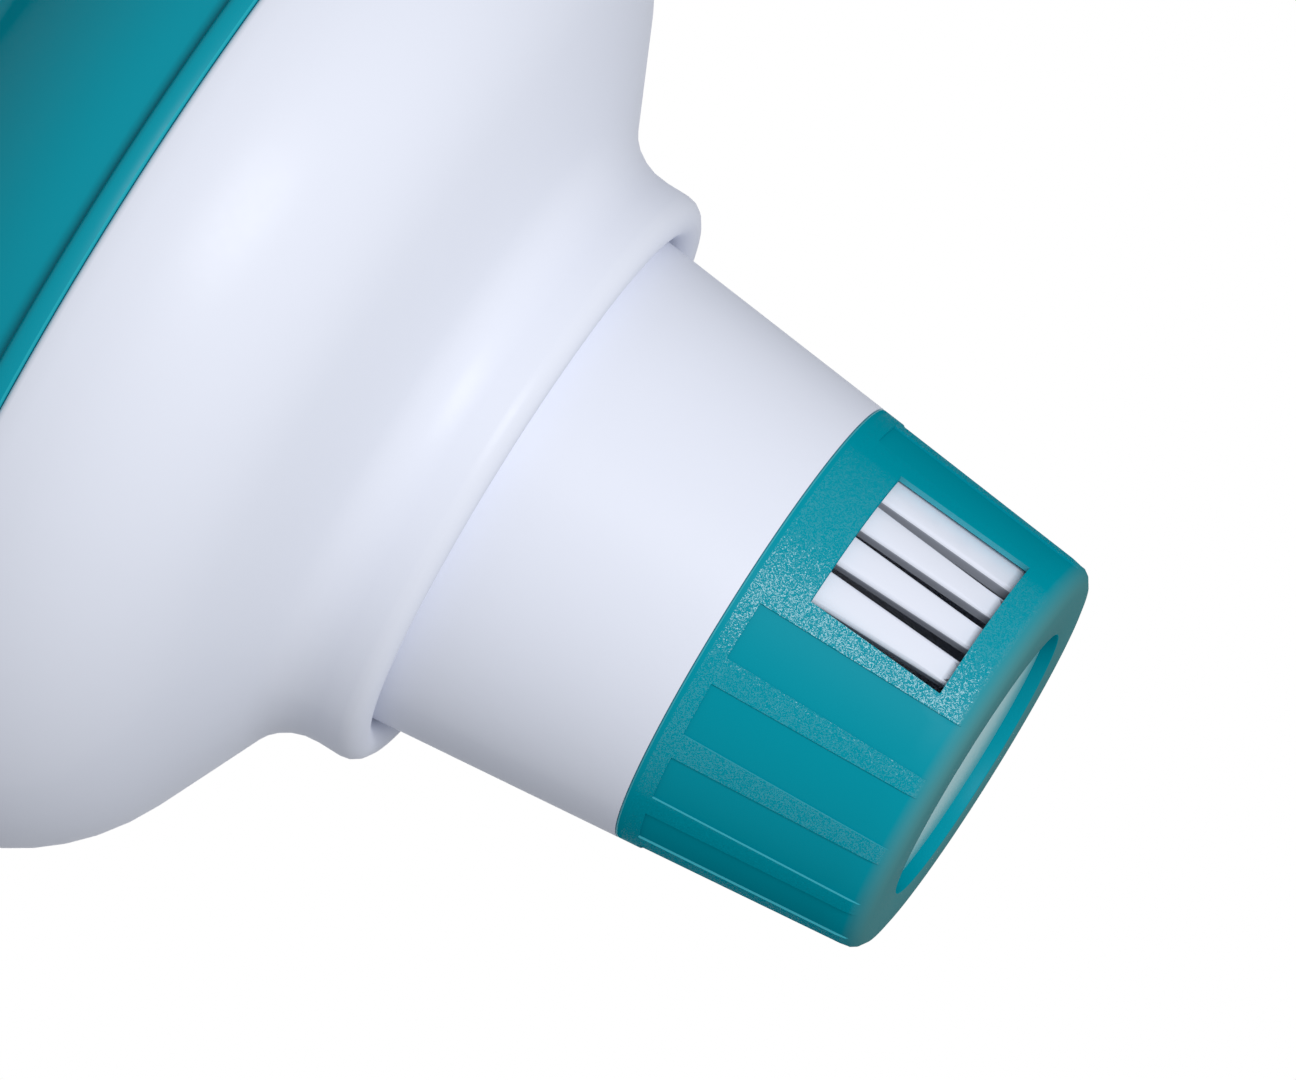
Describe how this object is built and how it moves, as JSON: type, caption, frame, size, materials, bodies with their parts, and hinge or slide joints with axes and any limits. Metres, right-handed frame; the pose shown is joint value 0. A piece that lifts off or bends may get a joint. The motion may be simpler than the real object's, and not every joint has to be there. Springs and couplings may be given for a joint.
{
  "type": "floating chlorine dispenser",
  "caption": "Floating pool chlorine dispenser: domed hollow float with a collar, a tapered tablet canister with slatted vents, and a flow ring that turns over the vents.",
  "frame": {"origin": "centre of the flow ring's end face, on the object's axis", "axes": "+Z along the object's axis up to the dome, +Y through the centre of one window of the flow ring"},
  "size_m": [0.127, 0.127, 0.1306],
  "materials": {
    "teal_shell": "smooth gloss moulding with a fine-grained panel in the middle",
    "white_shell": "smooth gloss moulding",
    "white_canister": "smooth gloss moulding",
    "teal_ring": "fine spark-grained face with smooth gloss recessed panels and end"
  },
  "bodies": {
    "float": {"top_shell": "teal_shell", "float_shell": "white_shell"},
    "canister": {"canister": "white_canister"},
    "ring": {"flow_ring": "teal_ring"}
  },
  "joints": [
    {"name": "canister_pull", "type": "slide", "parent": "float", "child": "canister", "axis": [0, 0, -1], "range_m": [0, 0.06]},
    {"name": "ring_turn", "type": "hinge", "parent": "canister", "child": "ring", "pos_m": [0, 0, 0.014], "axis": [0, 0, 1], "range_deg": [0, 60]}
  ]
}
